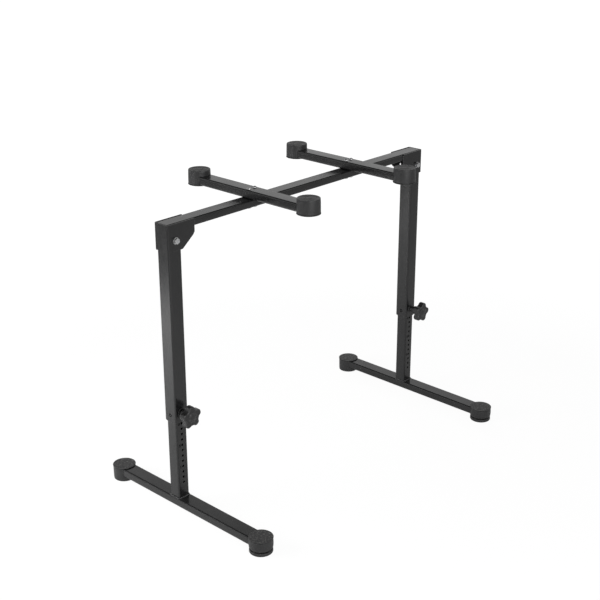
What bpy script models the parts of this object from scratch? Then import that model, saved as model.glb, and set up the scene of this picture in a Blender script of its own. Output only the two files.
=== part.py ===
"""Table keyboard stand with folding, height adjustable T legs.

Run with: blender --background --python part.py
Units are metres, +Z is up, and the player stands on the -Y side. The origin is on
the floor, midway between the four feet, and the legs stand a little behind it. The
stand is drawn in use: legs unfolded, both locking studs wound back just clear of
their hole rows, snap buttons pressed in.
"""

import math

import bmesh
import bpy
from mathutils import Matrix, Vector

# Driving dimensions of the stand
LEG_SPACING = 0.907
LEG_SETBACK = 0.033
FOOT_SPACING = 0.505
ARM_SPACING = 0.365
ARM_REACH = 0.378
REST_HEIGHT = 0.790
GAP = 0.0003

# Flat tube of the floor bars and the support arms
BAR_WIDTH = 0.0407
BAR_HEIGHT = 0.0217
BAR_BOTTOM = 0.0140
BAR_WALL = 0.0015
BAR_CORNER = 0.0042
BAR_END_INSET = 0.008

# Square tubes of the telescopic legs
LOWER_TUBE_SIZE = 0.0338
LOWER_TUBE_TOP = 0.478
OUTER_TUBE_SIZE = 0.040
OUTER_TUBE_END = 0.248
TUBE_WALL = 0.0015
TUBE_CORNER = 0.0045
NIB_HEIGHT = 0.017

# Row of height holes, counted from the hole that the stud uses in the photograph
STUD_HEIGHT = 0.2712
HOLE_PITCH = 0.0149
HOLES_BELOW = 13
HOLES_ABOVE = 11
HOLE_RADIUS = 0.0036

# Crossbar and the folding hinges under its ends
CROSSBAR_HEIGHT = 0.020
CROSSBAR_WALL = 0.002
CROSSBAR_CORNER = 0.0043
CROSSBAR_END_GAP = 0.0012
PIVOT_DROP = 0.0206
PLATE = 0.0025
BRACKET_CLEARANCE = 0.0005
BRACKET_BELOW_PIVOT = 0.0255
LOCK_ARM = 0.017
FOLD_ANGLE = {"left": math.radians(87.5), "right": math.radians(80.0)}

# Round moulded caps on the bar ends
CAP_HEIGHT = 0.0382
CAP_RADIUS = 0.0297
FRONT_CAP_RADIUS = 0.0301
LEVEL_DISC_HEIGHT = 0.0078
LEVEL_GROOVE = 0.0040

# Star knob and its threaded stud, measured from the front face of the outer tube
STUD_RADIUS = 0.004
NOSE_RADIUS = 0.0032
STUD_END = 0.0296
BOSS_LENGTH = 0.0112
HUB_START = 0.0071
HUB_RADIUS = 0.0116
STAR_START = 0.0226
STAR_END = 0.0389
STAR_RADIUS = 0.0286
STAR_WAIST = 0.0219
STAR_LOBES = 5
STAR_TURN = {"left": math.radians(90.3), "right": math.radians(73.9)}
KNOB_BACKED_OUT = {"left": 0.0, "right": 0.0070}

# Pivot bolt, snap button and arm bolts
PIVOT_RADIUS = 0.004
BUTTON_RADIUS = 0.0038
BUTTON_TRAVEL = 0.0055
ARM_BOLT_RADIUS = 0.003
ARM_BOLT_OFFSET = 0.010

# Heights that follow from the sizes above
BAR_TOP = BAR_BOTTOM + BAR_HEIGHT
ARM_TOP = REST_HEIGHT - BAR_BOTTOM
ARM_BOTTOM = ARM_TOP - BAR_HEIGHT
CROSSBAR_TOP = ARM_BOTTOM - GAP
CROSSBAR_BOTTOM = CROSSBAR_TOP - CROSSBAR_HEIGHT
PIVOT_HEIGHT = CROSSBAR_BOTTOM - PIVOT_DROP
OUTER_HALF = OUTER_TUBE_SIZE / 2
PLATE_INSIDE = OUTER_HALF + BRACKET_CLEARANCE
PLATE_OUTSIDE = PLATE_INSIDE + PLATE

SIDES = {"left": -1, "right": 1}
BOLT_SHIFTS = (-ARM_BOLT_OFFSET, ARM_BOLT_OFFSET)
ROUND_STEPS = 24
SMALL_STEPS = 16
HOLE_STEPS = 12
ROW_HOLE_STEPS = 8


def clear_scene():
    """Remove every object that the file opens with."""
    for item in list(bpy.data.objects):
        bpy.data.objects.remove(item, do_unlink=True)


def new_collection(name):
    collection = bpy.data.collections.new(name)
    bpy.context.scene.collection.children.link(collection)
    return collection


clear_scene()
STAND = new_collection("table_keyboard_stand")
CUTTERS = new_collection("cutters")


def material(name, colour, roughness, metallic):
    """One Principled BSDF finish."""
    finish = bpy.data.materials.new(name)
    finish.use_nodes = True
    shader = finish.node_tree.nodes["Principled BSDF"]
    shader.inputs["Base Color"].default_value = (*colour, 1.0)
    shader.inputs["Roughness"].default_value = roughness
    shader.inputs["Metallic"].default_value = metallic
    finish.diffuse_color = (*colour, 1.0)
    return finish


POWDER_BLACK = material("powder_coated_steel", (0.030, 0.030, 0.031), 0.42, 0.0)
CAP_BLACK = material("moulded_cap_rubber", (0.028, 0.028, 0.029), 0.62, 0.0)
KNOB_BLACK = material("moulded_knob_plastic", (0.024, 0.024, 0.025), 0.50, 0.0)
SLEEVE_BLACK = material("guide_sleeve_plastic", (0.020, 0.020, 0.021), 0.45, 0.0)
ZINC = material("zinc_plated_steel", (0.62, 0.63, 0.65), 0.34, 1.0)


# Modelling helpers


def scratch_object(name, data):
    """An object on the cutters' collection, which the finished part leaves out."""
    item = bpy.data.objects.new(name, data)
    item.hide_render = True
    item.display_type = "WIRE"
    CUTTERS.objects.link(item)
    return item


def evaluated_mesh(item):
    """The mesh of an object with its modifiers, welded and facing outwards."""
    bpy.context.view_layer.update()
    graph = bpy.context.evaluated_depsgraph_get()
    mesh = bpy.data.meshes.new_from_object(item.evaluated_get(graph))
    mesh.transform(item.matrix_world)
    shape = bmesh.new()
    shape.from_mesh(mesh)
    bmesh.ops.remove_doubles(shape, verts=shape.verts, dist=0.00001)
    bmesh.ops.recalc_face_normals(shape, faces=shape.faces)
    shape.to_mesh(mesh)
    shape.free()
    mesh.name = item.name
    return mesh


def baked(item):
    """Swap an object for a plain mesh object of what it evaluates to."""
    mesh = evaluated_mesh(item)
    name = item.name
    bpy.data.objects.remove(item, do_unlink=True)
    return scratch_object(name, mesh)


def rounded_rectangle(width, height, radius, steps=3):
    """Outline of a rectangle whose four corners are arcs."""
    points = []
    for quarter in range(4):
        start = quarter * math.pi / 2
        middle = start + math.pi / 4
        centre_x = math.copysign(width / 2 - radius, math.cos(middle))
        centre_y = math.copysign(height / 2 - radius, math.sin(middle))
        for step in range(steps + 1):
            angle = start + step * math.pi / 2 / steps
            x = centre_x + radius * math.cos(angle)
            y = centre_y + radius * math.sin(angle)
            points.append((x, y))
    return points


def prism(name, outlines, low, high):
    """A flat outline, with holes if more follow, extruded along Z from low to high."""
    curve = bpy.data.curves.new(name, "CURVE")
    curve.dimensions = "2D"
    curve.fill_mode = "BOTH"
    curve.extrude = (high - low) / 2
    for outline in outlines:
        spline = curve.splines.new("POLY")
        spline.points.add(len(outline) - 1)
        for point, (x, y) in zip(spline.points, outline):
            point.co = (x, y, 0.0, 1.0)
        spline.use_cyclic_u = True
    item = scratch_object(name, curve)
    item.location.z = (low + high) / 2
    return baked(item)


def square_tube(name, size, wall, corner, low, high, depth=None):
    """A hollow tube of rounded square or flat section, open at both ends."""
    depth = depth or size
    outside = rounded_rectangle(size, depth, corner)
    inside = rounded_rectangle(size - 2 * wall, depth - 2 * wall, corner - wall)
    return prism(name, [outside, inside], low, high)


def lathe(name, profile, steps=ROUND_STEPS, closed=False):
    """Turn a profile of (radius, height) points round Z with a Screw modifier."""
    mesh = bpy.data.meshes.new(name)
    shape = bmesh.new()
    corners = [shape.verts.new((radius, 0.0, height)) for radius, height in profile]
    for first, second in zip(corners, corners[1:]):
        shape.edges.new((first, second))
    if closed:
        shape.edges.new((corners[-1], corners[0]))
    shape.to_mesh(mesh)
    shape.free()
    item = scratch_object(name, mesh)
    screw = item.modifiers.new("turn", "SCREW")
    screw.axis = "Z"
    screw.steps = steps
    screw.render_steps = steps
    screw.use_merge_vertices = True
    screw.merge_threshold = 0.00001
    return baked(item)


def rod(name, radius, low, high, steps=HOLE_STEPS):
    """A plain round bar along Z."""
    mesh = bpy.data.meshes.new(name)
    shape = bmesh.new()
    bmesh.ops.create_cone(
        shape,
        cap_ends=True,
        segments=steps,
        radius1=radius,
        radius2=radius,
        depth=high - low,
        matrix=Matrix.Translation((0.0, 0.0, (low + high) / 2)),
    )
    shape.to_mesh(mesh)
    shape.free()
    return scratch_object(name, mesh)


def block(name, size, centre):
    """A plain box."""
    mesh = bpy.data.meshes.new(name)
    shape = bmesh.new()
    scale = Matrix.Diagonal((*size, 1.0))
    bmesh.ops.create_cube(shape, size=1.0, matrix=Matrix.Translation(centre) @ scale)
    shape.to_mesh(mesh)
    shape.free()
    return scratch_object(name, mesh)


def moved(item, offset=(0.0, 0.0, 0.0), turn=0.0, about="Z"):
    """Turn an object's mesh about an axis through the origin, then move it."""
    matrix = Matrix.Translation(offset) @ Matrix.Rotation(turn, 4, about)
    item.data.transform(matrix)
    return item


def facing_front(item, offset=(0.0, 0.0, 0.0)):
    """Lay a piece drawn along +Z down so that it points to the front, along -Y."""
    return moved(item, offset, math.pi / 2, "X")


def facing_back(item, offset=(0.0, 0.0, 0.0)):
    """Lay a piece drawn along +Z down so that it points to the back, along +Y."""
    return moved(item, offset, -math.pi / 2, "X")


def combined(target, other, operation):
    """Apply one exact Boolean and remove the second object."""
    boolean = target.modifiers.new(operation.lower(), "BOOLEAN")
    boolean.operation = operation
    boolean.solver = "EXACT"
    boolean.object = other
    result = baked(target)
    bpy.data.objects.remove(other, do_unlink=True)
    return result


def cut(target, *cutters):
    for cutter in cutters:
        target = combined(target, cutter, "DIFFERENCE")
    return target


def fused(target, *others):
    for other in others:
        target = combined(target, other, "UNION")
    return target


def drill_set(name, pieces):
    """Put separate drills in one mesh, so that one Boolean cuts all their holes."""
    mesh = bpy.data.meshes.new(name)
    shape = bmesh.new()
    for piece in pieces:
        shape.from_mesh(piece.data)
        bpy.data.objects.remove(piece, do_unlink=True)
    shape.to_mesh(mesh)
    shape.free()
    return scratch_object(name, mesh)


def axis_empty(name, location, parent=None):
    """An empty that marks a joint's axis and carries the pieces that move on it."""
    empty = bpy.data.objects.new(name, None)
    empty.empty_display_size = 0.03
    STAND.objects.link(empty)
    place(empty, location, parent)
    return empty


def place(item, location, parent):
    """Put an object at a world location, under a parent that isn't turned."""
    item.parent = parent
    bpy.context.view_layer.update()
    base = parent.matrix_world.translation if parent else Vector((0.0, 0.0, 0.0))
    item.location = Vector(location) - base
    bpy.context.view_layer.update()


def add_part(name, shape, finish, origin, spot, parent=None):
    """Turn a modelled shape into a finished sub-part.

    The shape is drawn on the bench with its leg, or its floor bar, centred on the
    origin. Its own origin moves to the given bench point, and the part is then set
    at its spot, the (x, y) place of that leg or floor bar on the stand.
    """
    mesh = shape.data
    bpy.data.objects.remove(shape, do_unlink=True)
    mesh.transform(Matrix.Translation(-Vector(origin)))
    mesh.name = name
    mesh.materials.clear()
    mesh.materials.append(finish)
    mesh.shade_smooth()
    mesh.set_sharp_from_angle(angle=math.radians(32.0))
    part = bpy.data.objects.new(name, mesh)
    STAND.objects.link(part)
    place(part, Vector(origin) + Vector((*spot, 0.0)), parent)
    return part


# Flat bars, their caps and the levelling feet


def flat_bar(name, reach, centre_height, inset=BAR_END_INSET):
    """A flat tube along Y that ends inside the caps at both ends."""
    half = reach / 2 - inset
    bar = square_tube(name, BAR_WIDTH, BAR_WALL, BAR_CORNER, -half, half, BAR_HEIGHT)
    return facing_back(bar, (0.0, 0.0, centre_height))


def cap_socket(reach_side, centre_y, centre_height):
    """Cutter for the pocket that takes a bar's end, open towards the bar's middle."""
    width = BAR_WIDTH + 2 * GAP
    height = BAR_HEIGHT + 2 * GAP
    outline = rounded_rectangle(width, height, BAR_CORNER + GAP)
    depth_low = BAR_END_INSET - GAP
    pocket = prism("cap_socket", [outline], depth_low, 2 * FRONT_CAP_RADIUS)
    if reach_side > 0:
        return facing_front(pocket, (0.0, centre_y, centre_height))
    return facing_back(pocket, (0.0, centre_y, centre_height))


def plain_cap_profile():
    """Profile of a cap with a lipped top face, a slight taper and a rounded sole."""
    profile = [
        (0.0, CAP_HEIGHT),
        (CAP_RADIUS - 0.0008, CAP_HEIGHT),
        (CAP_RADIUS, CAP_HEIGHT - 0.0008),
        (CAP_RADIUS, CAP_HEIGHT - 0.0024),
        (CAP_RADIUS - 0.0011, CAP_HEIGHT - 0.0028),
        (CAP_RADIUS - 0.0008, 0.0180),
        (CAP_RADIUS - 0.0012, 0.0030),
        (CAP_RADIUS - 0.0022, 0.0),
        (0.0, 0.0),
    ]
    return profile


def back_cap(name, side_y, reach, centre_height):
    """A cap that stands on the floor at the back end of a bar."""
    centre_y = side_y * reach / 2
    cap = moved(lathe(name, plain_cap_profile()), (0.0, centre_y, 0.0))
    return cut(cap, cap_socket(side_y, centre_y, centre_height))


def front_cap(name, reach, centre_height):
    """A cap whose levelling disc screws up into a blind hole in its underside."""
    underside = LEVEL_DISC_HEIGHT + LEVEL_GROOVE
    thread = STUD_RADIUS + 0.00035
    top = CAP_HEIGHT + 0.0003
    radius = FRONT_CAP_RADIUS
    profile = [
        (0.0, top),
        (radius - 0.0008, top),
        (radius, top - 0.0008),
        (radius, top - 0.0024),
        (radius - 0.0010, top - 0.0028),
        (radius - 0.0002, 0.0200),
        (radius - 0.0010, underside + 0.0006),
        (radius - 0.0016, underside),
        (thread, underside),
        (thread, 0.0244),
        (0.0, 0.0244),
    ]
    centre_y = -reach / 2
    cap = moved(lathe(name, profile), (0.0, centre_y, 0.0))
    return cut(cap, cap_socket(-1, centre_y, centre_height))


def levelling_disc(name, reach):
    """Foot disc with its neck and screw."""
    radius = FRONT_CAP_RADIUS - 0.0011
    shoulder = LEVEL_DISC_HEIGHT + LEVEL_GROOVE - 0.0002
    profile = [
        (0.0, 0.0240),
        (STUD_RADIUS, 0.0240),
        (STUD_RADIUS, shoulder),
        (0.0100, shoulder - 0.0002),
        (0.0100, LEVEL_DISC_HEIGHT),
        (radius - 0.0008, LEVEL_DISC_HEIGHT),
        (radius, LEVEL_DISC_HEIGHT - 0.0009),
        (radius, 0.0012),
        (radius - 0.0010, 0.0),
        (0.0, 0.0),
    ]
    return moved(lathe(name, profile), (0.0, -reach / 2, 0.0))


def arm_cap(name, side_y):
    """The plain cap turned over, so that its sole carries the instrument."""
    centre_y = side_y * ARM_REACH / 2
    cap = moved(lathe(name, plain_cap_profile()), turn=math.pi, about="X")
    cap = moved(cap, (0.0, centre_y, REST_HEIGHT))
    middle = (ARM_TOP + ARM_BOTTOM) / 2
    return cut(cap, cap_socket(side_y, centre_y, middle))


# Telescopic leg


def lower_tube():
    """Inner leg tube with its row of height holes in the front wall."""
    low = BAR_TOP + GAP
    tube = square_tube(
        "lower_tube", LOWER_TUBE_SIZE, TUBE_WALL, TUBE_CORNER, low, LOWER_TUBE_TOP
    )
    drills = []
    for step in range(-HOLES_BELOW, HOLES_ABOVE + 1):
        height = STUD_HEIGHT + step * HOLE_PITCH
        depth = (LOWER_TUBE_SIZE / 2 - 3 * TUBE_WALL, LOWER_TUBE_SIZE / 2 + 0.003)
        drill = rod("drill", HOLE_RADIUS, *depth, ROW_HOLE_STEPS)
        drills.append(facing_front(drill, (0.0, 0.0, height)))
    return cut(tube, drill_set("hole_row", drills))


def slide_plug():
    """Plastic plug that centres the top of the inner tube in the outer one."""
    head_width = OUTER_TUBE_SIZE - 2 * TUBE_WALL - 2 * GAP
    spigot_width = LOWER_TUBE_SIZE - 2 * TUBE_WALL - 2 * GAP
    head_low = LOWER_TUBE_TOP + GAP
    head_outline = rounded_rectangle(head_width, head_width, TUBE_CORNER - TUBE_WALL)
    head = prism("slide_plug", [head_outline], head_low, head_low + 0.0097)
    spigot_outline = rounded_rectangle(spigot_width, spigot_width, 0.0026)
    spigot = prism("spigot", [spigot_outline], LOWER_TUBE_TOP - 0.015, head_low + 0.002)
    plug = fused(head, spigot)
    hollow_outline = rounded_rectangle(spigot_width - 0.006, spigot_width - 0.006, 0.002)
    low = LOWER_TUBE_TOP - 0.020
    hollow = prism("hollow", [hollow_outline], low, LOWER_TUBE_TOP + 0.006)
    return cut(plug, hollow)


def outer_tube():
    """Outer leg tube, rounded off over the pivot and drilled for what it carries."""
    tube = square_tube(
        "outer_tube",
        OUTER_TUBE_SIZE,
        TUBE_WALL,
        TUBE_CORNER,
        OUTER_TUBE_END,
        PIVOT_HEIGHT + OUTER_HALF,
    )
    corner_cutter = block(
        "round_top",
        (OUTER_TUBE_SIZE + 0.02, OUTER_TUBE_SIZE + 0.01, OUTER_TUBE_SIZE),
        (0.0, 0.0, PIVOT_HEIGHT + OUTER_HALF),
    )
    keep = rod("keep", OUTER_HALF - 0.0001, -0.03, 0.03, 40)
    keep = facing_back(keep, (0.0, 0.0, PIVOT_HEIGHT))
    tube = cut(tube, cut(corner_cutter, keep))

    pivot_hole = rod("pivot_hole", PIVOT_RADIUS + GAP, -0.03, 0.03)
    stud_hole = rod("stud_hole", STUD_RADIUS + 0.0004, 0.012, 0.03)
    button_hole = rod("button_hole", BUTTON_RADIUS + 0.00035, 0.012, 0.03)
    nib_hole = rod("nib_hole", 0.0030, -0.03, 0.03)
    return cut(
        tube,
        facing_back(pivot_hole, (0.0, 0.0, PIVOT_HEIGHT)),
        facing_front(stud_hole, (0.0, 0.0, STUD_HEIGHT)),
        facing_back(button_hole, (0.0, 0.0, PIVOT_HEIGHT - LOCK_ARM)),
        moved(nib_hole, (0.0, 0.0, OUTER_TUBE_END + NIB_HEIGHT), math.pi / 2, "Y"),
    )


def guide_sleeve():
    """Plastic sleeve in the outer tube's mouth, held by a nib in each side wall."""
    outside = OUTER_TUBE_SIZE - 2 * TUBE_WALL - 2 * GAP
    inside = LOWER_TUBE_SIZE + 2 * GAP
    wall = (outside - inside) / 2
    corner = TUBE_CORNER + GAP + wall
    low = OUTER_TUBE_END - 0.0018
    sleeve = square_tube("guide_sleeve", outside, wall, corner, low, OUTER_TUBE_END + 0.045)
    lip_width = OUTER_TUBE_SIZE - 0.0014
    lip_wall = (lip_width - inside) / 2
    lip = square_tube(
        "lip", lip_width, lip_wall, TUBE_CORNER + lip_wall, low, OUTER_TUBE_END - GAP
    )
    sleeve = fused(sleeve, lip)
    for side in (-1, 1):
        nib = rod("nib", 0.0027, inside / 2 + wall / 2, OUTER_HALF - 0.0006)
        nib = moved(nib, (0.0, 0.0, 0.0), side * math.pi / 2, "Y")
        sleeve = fused(sleeve, moved(nib, (0.0, 0.0, OUTER_TUBE_END + NIB_HEIGHT)))
    window = rod("stud_window", STUD_RADIUS + 0.0008, 0.012, 0.03)
    return cut(sleeve, facing_front(window, (0.0, 0.0, STUD_HEIGHT)))


# Lock stud and star knob, drawn along +Z from the tube's front face


def on_stud_axis(item):
    return facing_front(item, (0.0, -OUTER_HALF, STUD_HEIGHT))


def stud_boss():
    """Threaded boss welded to the tube, with a wide plated base."""
    bore = STUD_RADIUS + 0.00035
    profile = [
        (bore, BOSS_LENGTH),
        (0.0076, BOSS_LENGTH),
        (0.0083, BOSS_LENGTH - 0.0007),
        (0.0083, 0.0032),
        (0.0107, 0.0032),
        (0.0112, 0.0027),
        (0.0112, GAP),
        (bore, GAP),
    ]
    return on_stud_axis(lathe("stud_boss", profile, SMALL_STEPS, closed=True))


def lock_stud():
    """Stud whose turned-down nose enters a height hole when the knob is wound in."""
    tip = -(OUTER_TUBE_SIZE - LOWER_TUBE_SIZE) / 2 + 0.00035
    profile = [
        (0.0, STUD_END),
        (STUD_RADIUS - 0.0006, STUD_END),
        (STUD_RADIUS, STUD_END - 0.0006),
        (STUD_RADIUS, 0.0012),
        (NOSE_RADIUS, 0.0006),
        (NOSE_RADIUS, tip + 0.0008),
        (NOSE_RADIUS - 0.0009, tip),
        (0.0, tip),
    ]
    return on_stud_axis(lathe("lock_stud", profile, SMALL_STEPS))


def star_outline(turn, shrink, points=40):
    """Five broad lobes with square shoulders, joined by shallow scallops."""
    middle = (STAR_RADIUS + STAR_WAIST) / 2 - shrink
    swing = (STAR_RADIUS - STAR_WAIST) / 2
    outline = []
    for index in range(points):
        angle = 2 * math.pi * index / points
        wave = math.cos(STAR_LOBES * (angle - turn))
        radius = middle + swing * math.tanh(1.3 * wave) / math.tanh(1.3)
        outline.append((radius * math.cos(angle), radius * math.sin(angle)))
    return outline


def star_knob(turn):
    """Moulded knob: star head with rolled edges, flared hub, bores for stud and cap."""
    roll = 0.0030
    curve = bpy.data.curves.new("star", "CURVE")
    curve.dimensions = "2D"
    curve.fill_mode = "BOTH"
    curve.extrude = (STAR_END - STAR_START) / 2 - roll
    curve.bevel_depth = roll
    curve.bevel_resolution = 1
    outline = star_outline(turn, roll)
    spline = curve.splines.new("POLY")
    spline.points.add(len(outline) - 1)
    for point, (x, y) in zip(spline.points, outline):
        point.co = (x, y, 0.0, 1.0)
    spline.use_cyclic_u = True
    star = scratch_object("star", curve)
    star.location.z = (STAR_START + STAR_END) / 2
    star = baked(star)

    hub_profile = [
        (0.0, STAR_START + 0.0040),
        (0.0166, STAR_START + 0.0040),
        (0.0166, STAR_START + 0.0008),
        (0.0136, STAR_START - 0.0024),
        (0.0122, STAR_START - 0.0060),
        (HUB_RADIUS, HUB_START + 0.0008),
        (HUB_RADIUS - 0.0008, HUB_START),
        (0.0, HUB_START),
    ]
    knob = fused(star, lathe("hub", hub_profile, ROUND_STEPS))
    counterbore = rod("counterbore", 0.0089, HUB_START - 0.002, HUB_START + 0.0082, SMALL_STEPS)
    stud_bore = rod("stud_bore", STUD_RADIUS + 0.0004, HUB_START, STUD_END + GAP, SMALL_STEPS)
    cap_recess = rod("cap_recess", 0.0104, STAR_END - 0.0012, STAR_END + 0.003, ROUND_STEPS)
    return on_stud_axis(cut(knob, counterbore, stud_bore, cap_recess))


def knob_cap():
    """Thin domed cover over the stud's end in the knob's face."""
    base = STAR_END - 0.0012 + GAP
    profile = [
        (0.0, base + 0.0021),
        (0.0050, base + 0.0019),
        (0.0088, base + 0.0012),
        (0.0100, base + 0.0004),
        (0.0100, base),
        (0.0, base),
    ]
    return on_stud_axis(lathe("knob_cap", profile, ROUND_STEPS))


# Folding hinge


def hinge_bracket(inward, fold_angle):
    """Pressed channel: web on the outside of the leg, two plates that flare inwards."""
    web_out = PLATE_OUTSIDE + 0.0002
    reach = 0.060
    bend = 0.0042
    low = PIVOT_HEIGHT - BRACKET_BELOW_PIVOT
    section = []
    outer_arc = [math.pi + step * math.pi / 2 / 4 for step in range(5)]
    for angle in outer_arc:
        x = -web_out + bend + bend * math.cos(angle)
        y = -PLATE_OUTSIDE + bend + bend * math.sin(angle)
        section.append((x, y))
    section.append((reach, -PLATE_OUTSIDE))
    section.append((reach, -PLATE_INSIDE))
    inner = bend - PLATE
    for angle in reversed(outer_arc):
        x = -web_out + bend + inner * math.cos(angle)
        y = -PLATE_OUTSIDE + bend + inner * math.sin(angle)
        section.append((x, y))
    mirrored = [(x, -y) for x, y in reversed(section)]
    outline = [(inward * x, y) for x, y in section + mirrored]
    channel = prism("hinge_bracket", [outline], low, CROSSBAR_TOP)

    flare_x = 0.0228
    flare_run = 0.0300
    flare_rise = 0.0240
    side = [
        (-0.03, -0.01),
        (-0.03, low),
        (flare_x - 0.003, low),
        (flare_x, low + 0.0010),
        (flare_x + flare_run, low + 0.0010 + flare_rise),
        (reach - 0.004, low + flare_rise + 0.0040),
        (reach - 0.001, low + flare_rise + 0.0090),
        (reach + 0.02, low + flare_rise + 0.0090),
        (reach + 0.02, -0.01),
    ]
    below = [(inward * x, z) for x, z in side]
    trim = moved(prism("trim", [below], -0.03, 0.03), turn=math.pi / 2, about="X")
    channel = cut(channel, trim)

    pivot_hole = rod("pivot_hole", PIVOT_RADIUS + GAP, -0.03, 0.03)
    channel = cut(channel, facing_back(pivot_hole, (0.0, 0.0, PIVOT_HEIGHT)))
    for angle in (0.0, fold_angle):
        hole = rod("lock_hole", BUTTON_RADIUS + 0.0004, 0.012, 0.03)
        x = inward * LOCK_ARM * math.sin(angle)
        z = PIVOT_HEIGHT - LOCK_ARM * math.cos(angle)
        channel = cut(channel, facing_back(hole, (x, 0.0, z)))
    return channel


def hexagon(name, across_flats, low, high):
    return rod(name, across_flats / 2 / math.cos(math.pi / 6), low, high, 6)


def washer(name, inner, outer, low, high):
    ring = [(inner, high), (outer, high), (outer, low), (inner, low)]
    return lathe(name, ring, HOLE_STEPS, closed=True)


WASHER_FACE = PLATE_OUTSIDE + GAP + 0.0016


def hinge_bolt():
    """Pivot bolt with its hexagon head at the front."""
    head = hexagon("hinge_bolt", 0.013, WASHER_FACE + GAP, WASHER_FACE + GAP + 0.0055)
    shank = rod("shank", PIVOT_RADIUS, -0.0325, WASHER_FACE + 0.002)
    return facing_front(fused(head, shank), (0.0, 0.0, PIVOT_HEIGHT))


def hinge_nut():
    """Locking nut with a domed collar, at the back."""
    face = WASHER_FACE + GAP
    body = hexagon("hinge_nut", 0.013, face, face + 0.0056)
    collar_profile = [(0.0, face + 0.0080), (0.0047, face + 0.0080)]
    collar_profile += [(0.0056, face + 0.0070), (0.0056, face + 0.0040)]
    collar_profile += [(0.0, face + 0.0040)]
    nut = fused(body, lathe("collar", collar_profile, HOLE_STEPS))
    bore = rod("bore", PIVOT_RADIUS + GAP, 0.0, 0.05)
    return facing_back(cut(nut, bore), (0.0, 0.0, PIVOT_HEIGHT))


def hinge_washer(lay):
    """Washer against the bracket's plate, at the front or the back."""
    ring = washer("washer", PIVOT_RADIUS + GAP, 0.0085, PLATE_OUTSIDE + GAP, WASHER_FACE)
    return lay(ring, (0.0, 0.0, PIVOT_HEIGHT))


def pivot_sleeve():
    """Steel spacer that keeps the pivot bolt from crushing the tube."""
    half = OUTER_HALF - TUBE_WALL - GAP
    sleeve = washer("pivot_sleeve", PIVOT_RADIUS + 0.00035, 0.0062, -half, half)
    return facing_back(sleeve, (0.0, 0.0, PIVOT_HEIGHT))


def lock_button():
    """Snap button, drawn pressed in, so that its tip is just inside the plate."""
    wall_inside = OUTER_HALF - TUBE_WALL
    flange_top = wall_inside - GAP - BUTTON_TRAVEL
    tip = PLATE_INSIDE - GAP
    profile = [
        (0.0, tip),
        (BUTTON_RADIUS - 0.0016, tip - 0.0002),
        (BUTTON_RADIUS - 0.0004, tip - 0.0010),
        (BUTTON_RADIUS, tip - 0.0022),
        (BUTTON_RADIUS, flange_top),
        (0.0056, flange_top),
        (0.0056, flange_top - 0.0015),
        (0.0, flange_top - 0.0015),
    ]
    button = lathe("lock_button", profile, SMALL_STEPS)
    return facing_back(button, (0.0, 0.0, PIVOT_HEIGHT - LOCK_ARM))


def lock_spring():
    """Coil spring across the tube, from its front wall to the pressed button."""
    wire = 0.00045
    mean_radius = 0.0036
    turns = 5
    per_turn = 8
    start = -(OUTER_HALF - TUBE_WALL) + GAP + wire
    end = OUTER_HALF - TUBE_WALL - GAP - BUTTON_TRAVEL - 0.0015 - GAP - wire
    curve = bpy.data.curves.new("lock_spring", "CURVE")
    curve.dimensions = "3D"
    curve.bevel_depth = wire
    curve.bevel_resolution = 1
    curve.use_fill_caps = True
    spline = curve.splines.new("POLY")
    count = turns * per_turn
    spline.points.add(count)
    for index in range(count + 1):
        angle = 2 * math.pi * index / per_turn
        along = start + (end - start) * index / count
        x = mean_radius * math.cos(angle)
        z = mean_radius * math.sin(angle)
        spline.points[index].co = (x, along, z, 1.0)
    spring = scratch_object("lock_spring", curve)
    spring.location.z = PIVOT_HEIGHT - LOCK_ARM
    return baked(spring)


# Top frame


def bolt_drills(arm_centres):
    """Clearance drills for the two bolts of each arm, as one cutter."""
    low = CROSSBAR_BOTTOM - 0.01
    drills = []
    for centre in arm_centres:
        for shift in BOLT_SHIFTS:
            drill = rod("drill", ARM_BOLT_RADIUS + GAP, low, REST_HEIGHT)
            drills.append(moved(drill, (centre + shift, 0.0, 0.0)))
    return drill_set("drills", drills)


def crossbar():
    """Main beam, which runs from one bracket's web to the other's."""
    length = LEG_SPACING + 2 * (PLATE_INSIDE - CROSSBAR_END_GAP)
    bar = square_tube(
        "crossbar",
        CROSSBAR_HEIGHT,
        CROSSBAR_WALL,
        CROSSBAR_CORNER,
        -length / 2,
        length / 2,
        OUTER_TUBE_SIZE,
    )
    bar = moved(bar, turn=math.pi / 2, about="Y")
    bar = moved(bar, (0.0, 0.0, (CROSSBAR_TOP + CROSSBAR_BOTTOM) / 2))
    return cut(bar, bolt_drills([sign * ARM_SPACING / 2 for sign in SIDES.values()]))


def support_arm():
    """Front to back bar that carries two caps."""
    arm = flat_bar("support_arm", ARM_REACH, (ARM_TOP + ARM_BOTTOM) / 2)
    return cut(arm, bolt_drills([0.0]))


def arm_bolt():
    """Low round headed bolt, pushed down through arm and crossbar."""
    face = ARM_TOP + GAP
    profile = [
        (0.0, face + 0.0033),
        (0.0030, face + 0.0031),
        (0.0049, face + 0.0020),
        (0.0056, face),
        (ARM_BOLT_RADIUS, face),
        (ARM_BOLT_RADIUS, CROSSBAR_BOTTOM - 0.0080),
        (0.0, CROSSBAR_BOTTOM - 0.0080),
    ]
    bolt = lathe("arm_bolt", profile, HOLE_STEPS)
    socket = hexagon("socket", 0.0040, face + 0.0012, face + 0.006)
    return cut(bolt, socket)


def arm_nut():
    top = CROSSBAR_BOTTOM - GAP - 0.0012 - GAP
    nut = hexagon("arm_nut", 0.010, top - 0.0050, top)
    bore = rod("bore", ARM_BOLT_RADIUS + GAP, top - 0.01, top + 0.005)
    return cut(nut, bore)


def arm_washer():
    top = CROSSBAR_BOTTOM - GAP
    return washer("arm_washer", ARM_BOLT_RADIUS + GAP, 0.0062, top - 0.0012, top)


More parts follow.
